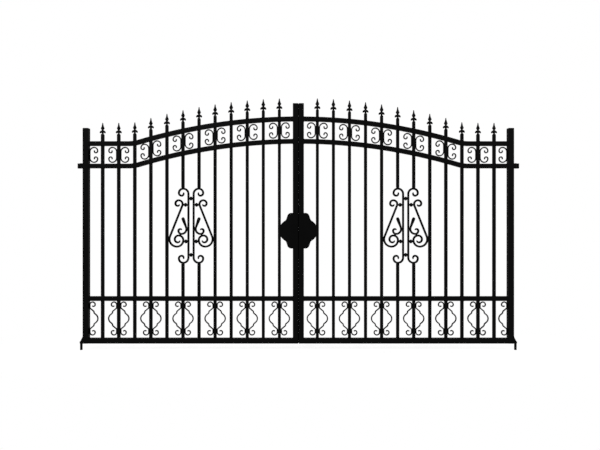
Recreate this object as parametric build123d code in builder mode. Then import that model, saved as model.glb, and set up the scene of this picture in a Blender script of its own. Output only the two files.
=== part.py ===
"""Arched double swing gate of painted steel tube, in millimetres.

X runs along the gate from the left hinge axis, the front faces -Y and Z rises from the ground.
The left leaf is built; the right leaf is its mirror image about the middle of the opening.
"""
import os
from math import acos, asin, atan2, cos, degrees, hypot, radians, sin, sqrt

from build123d import *

# Opening and frame
HINGE_SPAN = 3512.0
GROUND_GAP = 54.0
HINGE_OFFSET = 18.0
MEETING_GAP = 5.4
STILE_SIZE = 42.0
HINGE_STILE_SIZE = 46.0
STILE_HEAD = 106.0
CAP_THICKNESS = 3.0
CAP_CHAMFER = 1.5
RAIL_SIZE = 36.0
MID_RAIL_Z = 415.0
SECOND_RAIL_Z = 1487.0
BAND_PITCH = 181.0
ARCH_RISE = 200.0
ARCH_RADIUS = 4520.0
BEND_RADIUS = 300.0

# Pickets and spear heads
PICKET_COUNT = 12
PICKET_SIZE = 24.0
PICKET_END_GAP = 97.0
PICKET_HEAD = 54.0
PUNCH_CLEARANCE = 0.2
SPEAR_HEIGHT = 96.0
SPEAR_NECK = 18.0
SPEAR_WAIST = 15.0
BLADE_WIDTH = 31.0
BLADE_MID_WIDTH = 15.0
BLADE_DEPTH = 14.0
SPEAR_TIP = 6.0
NECK_SHARE = 0.05
WAIST_SHARE = 0.38
BLADE_SHARE = 0.54
BLADE_MID_SHARE = 0.77
BARB_SPAN = 47.0
BARB_THICKNESS = 10.0
BARB_OUTLINE_SHARES = ((0, 0.37), (0.62, 0.33), (1, 0.13), (0.78, 0.1), (0.45, 0.17), (0, 0.18))

# Scroll bars
TOUCH_GAP = 0.2
BAND_BAR = 10.0
BAND_BACK = 50.0
BAND_RADII = (35.0, 28.0, 15.0, 11.0)
BAND_TAIL = 8.0
BASE_WIRE = 10.0
BASE_REACH = 70.0
BASE_CAP_RADIUS = 40.0
BASE_PINCH_RADIUS = 10.0
BASE_CAP_RUN = 20.0
BASE_STEP_RUN = 15.5
BASE_PINCH_RUN = 21.5
BASE_LIFT = 7.0
BASE_RADII = (22.0, 21.0, 14.0)
BASE_END_RADIUS = 11.0
BASE_CAP_DEG = 50.0
BASE_STEP_DEG = 36.0
BASE_SLANT_DEG = 50.0
BASE_END_DEG = 60.0
REPEAT_CHORD_DEG = 45.0
TIGHT_RADIUS = 16.0

# Panel of scrolls between the two cut pickets, its curls as shares of half the bay
PANEL_Z = 1004.0
PANEL_BAR = 16.0
PANEL_HALF_HEIGHT = 300.0
PANEL_BAR_SHARE = 0.115
PANEL_CURL_SHARES = (0.23, 0.192, 0.12, 0.093)
PANEL_END_SHARE = 0.077
PANEL_END_DEG = 40.0
SIDE_CENTRE_SHARE = 0.545
SIDE_UPPER_SHARES = (0.172, 0.1445, 0.1036, 0.071)
SIDE_UPPER_GAP = 21.0
SIDE_LOWER_SHARES = (0.329, 0.285, 0.208, 0.17, 0.137, 0.088)
SIDE_LOWER_GAP = 58.0
BUD_WIDTH = 25.0
BUD_RUN_SHARE = 0.2985
BUD_LEAN_DEG = 20.0
BUD_SHARES = (0.218, 0.1363, 0.0818)
BUD_END_SHARE = 0.06
BUD_END_DEG = 80.0
TIE_SIZE = 14.0
TIE_BALL = 32.0
TIE_BALL_SHARE = 0.96
TIE_SIDES = 6
CENTRE_TIE_DROP = 38.0
FOOT_TIE_DROP = 22.0
UPPER_TIE_DROP_SHARE = 0.168
LOWER_TIE_DROP_SHARE = 0.19
PANEL_CHORD_DEG = 30.0

# Lock plate
PLATE_Z = 964.0
PLATE_THICKNESS = 3.0
PLATE_HALF_HEIGHT = 143.5
PLATE_FLAT = 57.0
PLATE_CORNER_RADIUS = 33.0
PLATE_CORNER_DEG = 72.0
PLATE_RUN = 29.0
PLATE_NOTCH_RADIUS = 22.0
PLATE_NOTCH_DEG = 39.5
PLATE_LOBE_RUN = 5.0
PLATE_CHORD_DEG = 20.0

# Hinges
RUNNING_GAP = 0.3
PIN_FIT = 0.1
EYE_RADIUS = 16.0
EYE_HEIGHT = 31.0
EYE_TAB_DEPTH = 24.0
PIN_DIAMETER = 16.0
PIN_HEAD_DIAMETER = 21.0
PIN_HEAD_HEIGHT = 3.0
BRACKET_PLATE = 4.0
BRACKET_DEPTH = 24.0
BRACKET_REACH = 26.0
BRACKET_BACK_GAP = 1.0
LUG_RADIUS = 13.0
LUG_HEIGHT = 14.0
GUSSET_HEIGHT = 66.0
GUSSET_THICKNESS = 10.0
GUSSET_FOOT = 26.0
PINTLE_DIAMETER = 20.0
SPIGOT_DIAMETER = 12.0
SPIGOT_SHARE = 0.85

# Positions that follow from the sizes above
CENTRE_X = HINGE_SPAN / 2
CENTRE_PLANE = Plane.YZ.offset(CENTRE_X)
HINGE_INNER_X = HINGE_OFFSET + HINGE_STILE_SIZE
MEETING_X = CENTRE_X - MEETING_GAP / 2
MEETING_INNER_X = MEETING_X - STILE_SIZE
CLEAR_WIDTH = MEETING_INNER_X - HINGE_INNER_X
FIRST_PICKET_X = HINGE_INNER_X + PICKET_END_GAP + PICKET_SIZE / 2
PICKET_PITCH = (CLEAR_WIDTH - 2 * PICKET_END_GAP - PICKET_SIZE) / (PICKET_COUNT - 1)
PICKET_X = [FIRST_PICKET_X + PICKET_PITCH * i for i in range(PICKET_COUNT)]
CUT_PICKETS = (PICKET_COUNT // 2 - 1, PICKET_COUNT // 2)
TOP_RAIL_Z = SECOND_RAIL_Z + BAND_PITCH
BOTTOM_RAIL_TOP = GROUND_GAP + STILE_SIZE
BASE_Z = (BOTTOM_RAIL_TOP + MID_RAIL_Z - RAIL_SIZE / 2) / 2 + BASE_LIFT
PANEL_X = (PICKET_X[CUT_PICKETS[0]] + PICKET_X[CUT_PICKETS[1]]) / 2
SWEPT_RADIUS = ARCH_RADIUS + BEND_RADIUS
BEND_DEG = degrees(acos(1 - ARCH_RISE / SWEPT_RADIUS))
BEND_START_X = CENTRE_X - SWEPT_RADIUS * sin(radians(BEND_DEG))
BEND_END_X = CENTRE_X - ARCH_RADIUS * sin(radians(BEND_DEG))
PANEL_REACH = (PICKET_PITCH * 3 - PICKET_SIZE) / 2 - TOUCH_GAP


def radii(shares):
    """Bend radii of the panel from their shares of half the bay."""
    return [share * PANEL_REACH for share in shares]


PANEL_BAR_X = PANEL_BAR_SHARE * PANEL_REACH
PANEL_RADII = radii(PANEL_CURL_SHARES)
SIDE_UPPER_RADII = radii(SIDE_UPPER_SHARES)
SIDE_LOWER_RADII = radii(SIDE_LOWER_SHARES)
CURL_CLEAR_Z = PANEL_HALF_HEIGHT - PANEL_RADII[1] - PANEL_RADII[2] - PANEL_BAR
SIDE_UPPER_X = SIDE_CENTRE_SHARE * PANEL_REACH
SIDE_UPPER_Z = CURL_CLEAR_Z - SIDE_UPPER_GAP - SIDE_UPPER_RADII[0]
SIDE_LOWER_X = PANEL_REACH - PANEL_BAR / 2 - SIDE_LOWER_RADII[0]
SIDE_LOWER_Z = SIDE_LOWER_GAP + SIDE_LOWER_RADII[0] - CURL_CLEAR_Z


def arch_rise(x):
    """Height of an arched rail over its flat end at X."""
    if x <= BEND_START_X:
        return 0
    if x <= BEND_END_X:
        return BEND_RADIUS - sqrt(BEND_RADIUS**2 - (x - BEND_START_X) ** 2)
    return ARCH_RISE - ARCH_RADIUS + sqrt(ARCH_RADIUS**2 - (CENTRE_X - x) ** 2)


def bend_path(x, z, heading, bends, chord):
    """Stations (x, z, heading) along a bent bar; bends are (radius, turn), (length, 0), (0, turn)."""
    stations = [(x, z, heading)]
    for size, turn in bends:
        if not size:
            stations[-1] = (x, z, heading + turn / 2)
            heading += turn
            continue
        count = max(1, round(abs(turn) / (chord if size > TIGHT_RADIUS else 2 * chord)))
        step = turn / count
        length = 2 * size * sin(radians(abs(step) / 2)) if turn else size
        for _ in range(count):
            middle = radians(heading + step / 2)
            x, z, heading = x + length * cos(middle), z + length * sin(middle), heading + step
            stations.append((x, z, heading))
    return stations


def reverse_path(stations):
    """The same stations walked from the other end."""
    return [(x, z, heading + 180) for x, z, heading in reversed(stations)]


def below_path(stations):
    """The mirror image below the middle, walked towards the middle."""
    return [(x, -z, 180 - heading) for x, z, heading in reversed(stations)]


def bar_outline(stations, widths):
    """Closed outline of a flat bar of the given width at each station."""
    left, right = [], []
    for (x, z, heading), width in zip(stations, widths):
        across = (-sin(radians(heading)) * width / 2, cos(radians(heading)) * width / 2)
        left.append((x + across[0], z + across[1]))
        right.append((x - across[0], z - across[1]))
    return left + right[::-1]


def bent_bar(stations, thickness, widths=None):
    """Solid bar in the XZ plane, as deep as it is thick."""
    outline = bar_outline(stations, widths or [thickness] * len(stations))
    with BuildPart() as bar:
        with BuildSketch(Plane.XZ):
            with BuildLine():
                Polyline(*outline, close=True)
            make_face()
        extrude(amount=thickness / 2, both=True)
    return bar.part


def tube(width, x_from, x_to, z_from, z_to):
    """Square bar filling the given span."""
    with BuildPart() as bar:
        with Locations(((x_from + x_to) / 2, 0, (z_from + z_to) / 2)):
            Box(x_to - x_from, width, z_to - z_from)
    return bar.part


def stile_top(x):
    return TOP_RAIL_Z + arch_rise(x) + RAIL_SIZE / 2 + STILE_HEAD - CAP_THICKNESS


def hinge_stile():
    return tube(HINGE_STILE_SIZE, HINGE_OFFSET, HINGE_INNER_X, GROUND_GAP, stile_top(HINGE_OFFSET))


def meeting_stile():
    return tube(STILE_SIZE, MEETING_INNER_X, MEETING_X, GROUND_GAP, stile_top(MEETING_X))


def stile_caps():
    with BuildPart() as caps:
        for x_from, x_to, level_x in (
            (HINGE_OFFSET, HINGE_INNER_X, HINGE_OFFSET),
            (MEETING_INNER_X, MEETING_X, MEETING_X),
        ):
            with Locations(((x_from + x_to) / 2, 0, stile_top(level_x) + CAP_THICKNESS / 2)):
                Box(x_to - x_from, x_to - x_from, CAP_THICKNESS)
        rims = [edge for top in caps.faces().filter_by(Axis.Z).group_by(Axis.Z)[1::2] for edge in top.edges()]
        chamfer(rims, CAP_CHAMFER)
    return caps.part


def picket_holes(z_from, z_to):
    """Square prisms that punch the picket holes of a rail."""
    size = PICKET_SIZE + 2 * PUNCH_CLEARANCE
    with BuildPart() as holes:
        with Locations(*[(x, 0, (z_from + z_to) / 2) for x in PICKET_X]):
            Box(size, size, z_to - z_from)
    return holes.part


def arched_rail(flat_z):
    with BuildPart() as rail:
        with BuildLine(Plane.XZ) as path:
            flat = Line((HINGE_INNER_X, flat_z), (BEND_START_X, flat_z))
            bend = JernArc(flat @ 1, flat % 1, BEND_RADIUS, BEND_DEG)
            JernArc(bend @ 1, bend % 1, ARCH_RADIUS, -BEND_DEG)
        with BuildSketch(Plane.YZ.offset(HINGE_INNER_X)):
            with Locations((0, flat_z)):
                Rectangle(RAIL_SIZE, RAIL_SIZE)
        sweep(path=path.wire())
        split(bisect_by=Plane.YZ.offset(MEETING_INNER_X), keep=Keep.BOTTOM)
        add(picket_holes(flat_z - RAIL_SIZE, flat_z + ARCH_RISE + RAIL_SIZE), mode=Mode.SUBTRACT)
    return rail.part


def top_rail():
    return arched_rail(TOP_RAIL_Z)


def second_rail():
    return arched_rail(SECOND_RAIL_Z)


def mid_rail():
    bottom, top = MID_RAIL_Z - RAIL_SIZE / 2, MID_RAIL_Z + RAIL_SIZE / 2
    with BuildPart() as rail:
        add(tube(RAIL_SIZE, HINGE_INNER_X, MEETING_INNER_X, bottom, top))
        add(picket_holes(bottom, top), mode=Mode.SUBTRACT)
    return rail.part


def bottom_rail():
    return tube(STILE_SIZE, HINGE_INNER_X, MEETING_INNER_X, GROUND_GAP, BOTTOM_RAIL_TOP)


def picket_top(x):
    return TOP_RAIL_Z + arch_rise(x) + RAIL_SIZE / 2 + PICKET_HEAD


def pickets():
    half = PICKET_SIZE / 2
    panel_reach = PANEL_HALF_HEIGHT + PANEL_BAR / 2 + TOUCH_GAP
    bars = []
    for i, x in enumerate(PICKET_X):
        cuts = [PANEL_Z - panel_reach, PANEL_Z + panel_reach] if i in CUT_PICKETS else []
        ends = [BOTTOM_RAIL_TOP] + cuts + [picket_top(x)]
        bars += [tube(PICKET_SIZE, x - half, x + half, z, top) for z, top in zip(ends[::2], ends[1::2])]
    with BuildPart() as row:
        add(bars)
    return row.part


def spear_head():
    """One cast head standing on the origin: front and side outlines crossed, with a pair of barbs."""
    stages = (
        (0, PICKET_SIZE, PICKET_SIZE),
        (NECK_SHARE, SPEAR_NECK, SPEAR_NECK),
        (WAIST_SHARE, SPEAR_WAIST, None),
        (BLADE_SHARE, BLADE_WIDTH, BLADE_DEPTH),
        (BLADE_MID_SHARE, BLADE_MID_WIDTH, None),
        (1, SPEAR_TIP, SPEAR_TIP),
    )
    front = [(width / 2, SPEAR_HEIGHT * share) for share, width, _ in stages]
    side = [(depth / 2, SPEAR_HEIGHT * share) for share, _, depth in stages if depth]
    barb = [(x * BARB_SPAN / 2, z * SPEAR_HEIGHT) for x, z in BARB_OUTLINE_SHARES]
    with BuildPart() as head:
        with BuildSketch(Plane.XZ):
            with BuildLine():
                Polyline(*front, *[(-x, z) for x, z in reversed(front)], close=True)
            make_face()
        extrude(amount=PICKET_SIZE, both=True)
        with BuildSketch(Plane.YZ):
            with BuildLine():
                Polyline(*side, *[(-y, z) for y, z in reversed(side)], close=True)
            make_face()
        extrude(amount=BLADE_WIDTH, both=True, mode=Mode.INTERSECT)
        with BuildSketch(Plane.XZ):
            with BuildLine():
                Polyline(*barb, *[(-x, z) for x, z in reversed(barb[1:-1])], close=True)
            make_face()
        extrude(amount=BARB_THICKNESS / 2, both=True)
    return head.part


def spear_heads():
    head = spear_head()
    with BuildPart() as heads:
        with Locations(*[(x, 0, picket_top(x)) for x in PICKET_X]):
            add(head)
    return heads.part


def scroll_faces():
    """Faces that carry the repeated scrolls: (X, side), on the hinge stile and every second picket."""
    faces = [(HINGE_INNER_X, 1)]
    for x in PICKET_X[1::2]:
        faces += [(x - PICKET_SIZE / 2, -1), (x + PICKET_SIZE / 2, 1)]
    return faces


def repeat_scrolls(scroll, height_at):
    """Copies of a right-hand scroll on all the faces that carry one."""
    reach = scroll.bounding_box().max.X / 2
    twin = mirror(scroll, about=Plane.YZ)
    copies = [
        (scroll if side > 0 else twin).moved(Location((x, 0, height_at(x + side * reach))))
        for x, side in scroll_faces()
    ]
    with BuildPart() as scrolls:
        add(copies)
    return scrolls.part


def band_scrolls():
    bends = [(BAND_BACK / 2, 0)] + [(radius, -90) for radius in BAND_RADII] + [(BAND_TAIL, 0)]
    upper = bend_path(BAND_BAR / 2, 0, 90, bends, REPEAT_CHORD_DEG)[1:]
    scroll = bent_bar(below_path(upper) + upper, BAND_BAR)
    return repeat_scrolls(scroll, lambda x: SECOND_RAIL_Z + BAND_PITCH / 2 + arch_rise(x))


def base_scrolls():
    slope = radians(BASE_SLANT_DEG)
    wave = [
        (BASE_CAP_RADIUS, BASE_CAP_DEG),
        (BASE_CAP_RUN, 0),
        (0, -BASE_STEP_DEG),
        (BASE_STEP_RUN, 0),
        (0, BASE_SLANT_DEG - BASE_CAP_DEG + BASE_STEP_DEG),
    ]
    x_bulge = bend_path(BASE_REACH, 0, 90, wave, REPEAT_CHORD_DEG)[-1][0]
    slant_run = (x_bulge - BASE_WIRE / 2 - BASE_PINCH_RADIUS * (1 - cos(slope))) / sin(slope)
    rise = [(slant_run, 0), (BASE_PINCH_RADIUS, -BASE_SLANT_DEG), (BASE_PINCH_RUN, 0)]
    curl = [(radius, -90) for radius in BASE_RADII] + [(BASE_END_RADIUS, -BASE_END_DEG)]
    upper = bend_path(BASE_REACH, 0, 90, wave + rise + curl, REPEAT_CHORD_DEG)
    scroll = bent_bar(below_path(upper)[:-1] + upper, BASE_WIRE)
    return repeat_scrolls(scroll, lambda x: BASE_Z)


def panel_pair(piece):
    """A right-hand piece of the panel and its mirror image, in place."""
    twin = mirror(piece, about=Plane.YZ)
    with BuildPart() as pair:
        with Locations((PANEL_X, 0, PANEL_Z)):
            add([piece, twin])
    return pair.part


def panel_bars():
    bends = [(PANEL_HALF_HEIGHT - PANEL_RADII[0], 0)] + [(radius, -90) for radius in PANEL_RADII]
    bends += [(PANEL_END_SHARE * PANEL_REACH, -PANEL_END_DEG)]
    upper = bend_path(PANEL_BAR_X, 0, 90, bends, PANEL_CHORD_DEG)[1:]
    return panel_pair(bent_bar(below_path(upper) + upper, PANEL_BAR))


def panel_side_scrolls():
    across, down = SIDE_LOWER_X - SIDE_UPPER_X, SIDE_LOWER_Z - SIDE_UPPER_Z
    span, both_radii = hypot(across, down), SIDE_UPPER_RADII[0] + SIDE_LOWER_RADII[0]
    heading = degrees(atan2(down, across) + asin(both_radii / span))
    x = SIDE_UPPER_X + SIDE_UPPER_RADII[0] * sin(radians(heading))
    z = SIDE_UPPER_Z - SIDE_UPPER_RADII[0] * cos(radians(heading))
    turn = heading + 180
    upper = [(SIDE_UPPER_RADII[0], -turn)] + [(radius, -90) for radius in SIDE_UPPER_RADII[1:]]
    lower = [(sqrt(span**2 - both_radii**2), 0), (SIDE_LOWER_RADII[0], -turn)]
    lower += [(radius, -90) for radius in SIDE_LOWER_RADII[1:]]
    stations = reverse_path(bend_path(x, z, turn, upper, PANEL_CHORD_DEG))[:-1]
    stations += bend_path(x, z, heading, lower, PANEL_CHORD_DEG)
    return panel_pair(bent_bar(stations, PANEL_BAR))


def panel_bud_scrolls():
    contact_radius, curl_radius, inner_radius = radii(BUD_SHARES)
    x = PANEL_BAR_X + PANEL_BAR + TOUCH_GAP
    spiral_x = SIDE_LOWER_X - SIDE_LOWER_RADII[1] + SIDE_LOWER_RADII[2]
    spiral_z = SIDE_LOWER_Z - SIDE_LOWER_RADII[0] + SIDE_LOWER_RADII[1]
    apart = curl_radius + SIDE_LOWER_RADII[2] + PANEL_BAR + TOUCH_GAP
    curl_z = spiral_z + sqrt(apart**2 - (spiral_x - x - contact_radius) ** 2)
    z = curl_z + contact_radius - curl_radius
    run = BUD_RUN_SHARE * (SIDE_UPPER_Z - SIDE_LOWER_Z)
    lower = [(contact_radius, 90), (curl_radius, 90), (inner_radius, 90)]
    lower += [(BUD_END_SHARE * PANEL_REACH, BUD_END_DEG)]
    upper = bend_path(x, z, 90, [(contact_radius, -BUD_LEAN_DEG), (run, 0)], PANEL_CHORD_DEG)
    stations = reverse_path(upper)[:-1] + bend_path(x, z, -90, lower, PANEL_CHORD_DEG)
    return panel_pair(bent_bar(stations, PANEL_BAR, [BUD_WIDTH] + [PANEL_BAR] * (len(stations) - 1)))


def tie(x_from, x_to, z, ball_width):
    """Few-sided tie with a ball in its middle."""
    corners = [radians(360 / TIE_SIDES * i) for i in range(TIE_SIDES)]
    outline = [(ball_width / 2 * cos(turn), TIE_BALL / 2 * sin(turn)) for turn in corners]
    with BuildPart() as bar:
        with BuildSketch(Plane.YZ):
            RegularPolygon(TIE_BALL / 2, TIE_SIDES)
        extrude(amount=ball_width, both=True)
        for plane in (Plane.XY, Plane.XZ):
            with BuildSketch(plane):
                with BuildLine():
                    Polyline(*outline, close=True)
                make_face()
            extrude(amount=TIE_BALL, both=True, mode=Mode.INTERSECT)
        with BuildSketch(Plane.YZ):
            RegularPolygon(TIE_SIZE / 2, TIE_SIDES)
        extrude(amount=(x_to - x_from) / 2, both=True)
    return bar.part.moved(Location(((x_from + x_to) / 2, 0, z)))


def panel_ties():
    inner, outer = PANEL_BAR_X - PANEL_BAR / 2, PANEL_BAR_X + PANEL_BAR / 2
    upper_end = SIDE_UPPER_X - SIDE_UPPER_RADII[0] - PANEL_BAR / 2 - TOUCH_GAP
    lower_end = SIDE_LOWER_X - SIDE_LOWER_RADII[1] - PANEL_BAR / 2 - TOUCH_GAP
    ball_width = TIE_BALL_SHARE * min(2 * inner, lower_end - outer)
    straight_half = PANEL_HALF_HEIGHT - PANEL_RADII[0]
    upper_z = SIDE_UPPER_Z - UPPER_TIE_DROP_SHARE * SIDE_UPPER_RADII[0]
    spiral_z = SIDE_LOWER_Z - SIDE_LOWER_RADII[0] + SIDE_LOWER_RADII[1]
    lower_z = spiral_z - LOWER_TIE_DROP_SHARE * SIDE_LOWER_RADII[1]
    spans = [(-inner, inner, straight_half - CENTRE_TIE_DROP), (-inner, inner, FOOT_TIE_DROP - straight_half)]
    for end, z in ((upper_end, upper_z), (lower_end, lower_z)):
        spans += [(outer, end, z), (-end, -outer, z)]
    with BuildPart() as ties:
        with Locations((PANEL_X, 0, PANEL_Z)):
            add([tie(x_from, x_to, z, ball_width) for x_from, x_to, z in spans])
    return ties.part


def lock_plate(back_y):
    """Left half of the ogee plate, its back on the plane Y = back_y and its front towards -Y."""
    shoulder = [
        (PLATE_CORNER_RADIUS, -PLATE_CORNER_DEG),
        (PLATE_RUN, 0),
        (PLATE_NOTCH_RADIUS, PLATE_NOTCH_DEG),
        (PLATE_LOBE_RUN, 0),
    ]
    upper = bend_path(PLATE_FLAT, PLATE_HALF_HEIGHT, 0, shoulder, PLATE_CHORD_DEG)
    lobe_turn = 90 - PLATE_CORNER_DEG + PLATE_NOTCH_DEG
    lobe_radius = upper[-1][1] / sin(radians(lobe_turn))
    upper += bend_path(*upper[-1], [(lobe_radius, -lobe_turn)], PLATE_CHORD_DEG)[1:]
    quarter = [(MEETING_GAP / 2, PLATE_HALF_HEIGHT)] + [(x, z) for x, z, _ in upper]
    outline = [(-x, z) for x, z in quarter] + [(-x, -z) for x, z in reversed(quarter[:-1])]
    with BuildPart() as plate:
        with BuildSketch(Plane.XZ.offset(-back_y)):
            with BuildLine():
                Polyline(*[(CENTRE_X + x, PLATE_Z + z) for x, z in outline], close=True)
            make_face()
        extrude(amount=PLATE_THICKNESS)
    return plate.part


def front_lock_plate():
    return lock_plate(-STILE_SIZE / 2)


def back_lock_plate():
    return lock_plate(STILE_SIZE / 2 + PLATE_THICKNESS)


def hinge_lugs():
    """The leaf's half of its hinges: an eye at the second rail and a gusseted lug at the foot."""
    top = GROUND_GAP + LUG_HEIGHT
    with BuildPart() as lugs:
        with BuildSketch(Plane.XY.offset(SECOND_RAIL_Z - EYE_HEIGHT / 2)):
            Circle(EYE_RADIUS)
            with Locations((HINGE_OFFSET / 2, 0)):
                Rectangle(HINGE_OFFSET, EYE_TAB_DEPTH)
            Circle(PIN_DIAMETER / 2 + RUNNING_GAP, mode=Mode.SUBTRACT)
        extrude(amount=EYE_HEIGHT)
        with BuildSketch(Plane.XY.offset(GROUND_GAP)):
            Circle(LUG_RADIUS)
            with Locations((HINGE_OFFSET / 2, 0)):
                Rectangle(HINGE_OFFSET, 2 * LUG_RADIUS)
            Circle(SPIGOT_DIAMETER / 2 + RUNNING_GAP, mode=Mode.SUBTRACT)
        extrude(amount=LUG_HEIGHT)
        with BuildSketch(Plane.XZ):
            with BuildLine():
                Polyline(
                    (HINGE_OFFSET, top),
                    (HINGE_OFFSET - GUSSET_FOOT, top),
                    (HINGE_OFFSET, GROUND_GAP + GUSSET_HEIGHT),
                    close=True,
                )
            make_face()
        extrude(amount=GUSSET_THICKNESS / 2, both=True)
    return lugs.part


def ground_pintles():
    shoulder = GROUND_GAP - RUNNING_GAP
    with BuildPart() as pintle:
        with BuildSketch():
            Circle(PINTLE_DIAMETER / 2)
        extrude(amount=shoulder)
        with BuildSketch(Plane.XY.offset(shoulder)):
            Circle(SPIGOT_DIAMETER / 2)
        extrude(amount=LUG_HEIGHT * SPIGOT_SHARE)
    return pintle.part


def hinge_brackets():
    inner = EYE_HEIGHT + 2 * RUNNING_GAP
    height = inner + 2 * BRACKET_PLATE
    length = BRACKET_REACH + BRACKET_DEPTH / 2
    with BuildPart() as bracket:
        with BuildSketch(Plane.XY.offset(SECOND_RAIL_Z - height / 2)):
            with Locations((length / 2 - BRACKET_REACH, 0)):
                Rectangle(length, BRACKET_DEPTH)
            Circle(PIN_DIAMETER / 2 + PIN_FIT, mode=Mode.SUBTRACT)
        extrude(amount=height)
        with Locations((BRACKET_REACH - EYE_RADIUS - BRACKET_BACK_GAP, 0, SECOND_RAIL_Z)):
            Box(2 * BRACKET_REACH, BRACKET_DEPTH, inner, mode=Mode.SUBTRACT)
    return bracket.part


def hinge_pins():
    height = EYE_HEIGHT + 2 * RUNNING_GAP + 2 * BRACKET_PLATE
    with BuildPart() as pin:
        with BuildSketch(Plane.XY.offset(SECOND_RAIL_Z - height / 2)):
            Circle(PIN_DIAMETER / 2)
        extrude(amount=height)
        with BuildSketch(Plane.XY.offset(SECOND_RAIL_Z + height / 2)):
            Circle(PIN_HEAD_DIAMETER / 2)
        extrude(amount=PIN_HEAD_HEIGHT)
    return pin.part


def mirrored(part):
    """The same piece on the other side of the gate."""
    with BuildPart() as twin:
        mirror(part, about=CENTRE_PLANE)
    return twin.part


def write(name, part):
    part.label = name
    export_step(part, f"parts/{name}.step")


LEAF_PIECES = (
    hinge_stile,
    meeting_stile,
    stile_caps,
    top_rail,
    second_rail,
    mid_rail,
    bottom_rail,
    pickets,
    spear_heads,
    band_scrolls,
    base_scrolls,
    panel_bars,
    panel_side_scrolls,
    panel_bud_scrolls,
    panel_ties,
    front_lock_plate,
    back_lock_plate,
    hinge_lugs,
)
FIXED_PIECES = (ground_pintles, hinge_brackets, hinge_pins)

os.makedirs("parts", exist_ok=True)
for piece in LEAF_PIECES:
    left = piece()
    write(f"left_{piece.__name__}", left)
    write(f"right_{piece.__name__}", mirrored(left))
for piece in FIXED_PIECES:
    left = piece()
    with BuildPart() as both_sides:
        add([left, mirrored(left)])
    write(piece.__name__, both_sides.part)
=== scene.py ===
"""Arched double swing gate: rounded bars, smooth scrolls, cast spear heads and weld beads over the solids.

The gate is written in millimetres, in the frame of the solids, and scaled to metres when a mesh is made.
The left leaf is modelled, and the right leaf is its mirror image. The studio round them is in metres.
"""
import random
from math import acos, asin, atan2, copysign, cos, degrees, hypot, inf, pi, radians, sin, sqrt

import bmesh
import bpy
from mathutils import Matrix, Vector


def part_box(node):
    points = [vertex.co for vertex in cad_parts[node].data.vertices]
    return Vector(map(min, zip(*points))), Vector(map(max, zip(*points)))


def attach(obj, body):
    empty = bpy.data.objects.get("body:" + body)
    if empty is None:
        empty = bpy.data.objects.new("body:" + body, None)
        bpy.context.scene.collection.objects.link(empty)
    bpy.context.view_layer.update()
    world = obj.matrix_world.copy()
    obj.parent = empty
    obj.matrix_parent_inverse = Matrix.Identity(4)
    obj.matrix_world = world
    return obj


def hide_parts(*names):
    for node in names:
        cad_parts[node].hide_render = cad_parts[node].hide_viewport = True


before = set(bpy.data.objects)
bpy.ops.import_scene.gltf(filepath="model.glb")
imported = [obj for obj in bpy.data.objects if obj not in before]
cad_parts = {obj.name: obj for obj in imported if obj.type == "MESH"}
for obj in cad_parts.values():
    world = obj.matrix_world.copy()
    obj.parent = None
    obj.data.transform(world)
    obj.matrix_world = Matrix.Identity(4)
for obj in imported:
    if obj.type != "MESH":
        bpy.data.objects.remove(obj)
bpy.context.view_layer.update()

MM = 0.001
TINY = 1e-9
X, Y, Z = range(3)

# Rounded corners and eased ends of bars, with the least width for a corner radius of one
CORNER_STEPS = 3
THIN_BAR_STEPS = 2
END_TRIM_SHARE = 1.2
WIDTH_PER_CORNER = 2.01


def span(node, axis):
    """Low and high end of a solid along one axis."""
    low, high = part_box(node)
    return round(low[axis] / MM, 3), round(high[axis] / MM, 3)


def extent(node, axis):
    low, high = span(node, axis)
    return round(high - low, 3)


def middle_of(node, axis):
    return sum(span(node, axis)) / 2


# Stiles and the gap between the leaves
HINGE_OFFSET, HINGE_INNER_X = span("left_hinge_stile", X)
MEETING_INNER_X, MEETING_X = span("left_meeting_stile", X)
HINGE_STILE = extent("left_hinge_stile", X)
STILE = extent("left_meeting_stile", X)
MEETING_GAP = round(span("right_meeting_stile", X)[0] - MEETING_X, 3)
CENTRE_X = MEETING_X + MEETING_GAP / 2
HINGE_SPAN = 2 * CENTRE_X
CAP = round(span("left_stile_caps", Z)[1] - span("left_meeting_stile", Z)[1], 3)
STILE_CORNER = 3.0
# Trim of the width, corner radius and depth under the top of a cap, from its underside up
CAP_PROFILE = ((2.6, 1.8, CAP), (1.0, 2.6, 2.3), (0.4, 2.9, 1.5), (1.4, 2.6, 0.5), (3.0, 2.0, 0.0))

# Rails, of which the upper two run level and then bend up into an arch with its top between the leaves
GROUND_GAP, BOTTOM_RAIL_TOP = span("left_bottom_rail", Z)
BOTTOM_RAIL_Z = middle_of("left_bottom_rail", Z)
RAIL = extent("left_mid_rail", Z)
MID_RAIL_Z = middle_of("left_mid_rail", Z)
SECOND_RAIL_Z = span("left_second_rail", Z)[0] + RAIL / 2
TOP_RAIL_Z = span("left_top_rail", Z)[0] + RAIL / 2
STILE_HEAD = span("left_hinge_stile", Z)[1] + CAP - TOP_RAIL_Z - RAIL / 2
ARCH_RISE = 200.0
ARCH_RADIUS = 4520.0
BEND_RADIUS = 300.0
BEND = degrees(acos(1 - ARCH_RISE / (ARCH_RADIUS + BEND_RADIUS)))
BEND_START_X = CENTRE_X - (ARCH_RADIUS + BEND_RADIUS) * sin(radians(BEND))
BEND_END_X = CENTRE_X - ARCH_RADIUS * sin(radians(BEND))
RAIL_CORNER = 2.5
RAIL_STEP = 1.0

# Pickets, two of them cut for the panel
PICKETS = 12
CUT_PICKETS = (5, 6)
PICKET = extent("left_pickets", Y)
FIRST_PICKET_X = span("left_pickets", X)[0] + PICKET / 2
PITCH = (extent("left_pickets", X) - PICKET) / (PICKETS - 1)
PICKET_X = [FIRST_PICKET_X + PITCH * i for i in range(PICKETS)]
PICKET_HEAD = 54.0
PICKET_CORNER = 1.6
PICKET_SINK = 0.5

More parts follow.
